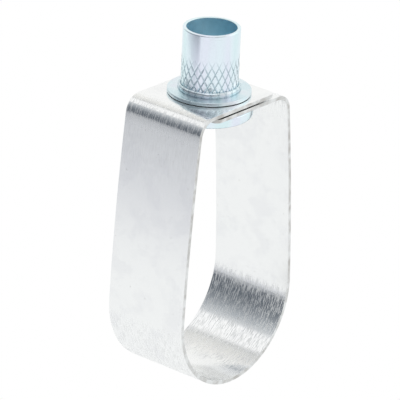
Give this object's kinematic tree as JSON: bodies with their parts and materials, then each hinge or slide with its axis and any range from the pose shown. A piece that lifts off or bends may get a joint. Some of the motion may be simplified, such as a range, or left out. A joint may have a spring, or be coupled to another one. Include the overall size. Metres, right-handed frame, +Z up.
{
  "type": "loop pipe hanger",
  "caption": "Swivel loop pipe hanger: a folded steel strip loop hangs from a knurled insert nut with a retaining washer, and cradles a pipe below a threaded rod.",
  "frame": {"origin": "on the nut's thread axis, level with the top face of the loop", "axes": "+Z up along the rod, X across the loop with the leg that carries the upper lap at -X, Y along the pipe"},
  "size_m": [0.0444, 0.0254, 0.0974],
  "materials": {
    "galvanised_strip": "mill-galvanised sheet, smooth and bright, faint rolling streaks",
    "zinc_plated_nut": "zinc plated with clear blue passivate, diamond knurl",
    "zinc_plated_washer": "zinc plated with clear blue passivate, pressed"
  },
  "bodies": {
    "nut": {"insert_nut": "zinc_plated_nut", "retaining_washer": "zinc_plated_washer"},
    "loop": {"hanger_band": "galvanised_strip"}
  },
  "joints": [
    {"name": "loop_swivel", "type": "hinge", "parent": "nut", "child": "loop", "pos_m": [0, 0, 0], "axis": [0, 0, 1], "continuous": true}
  ]
}
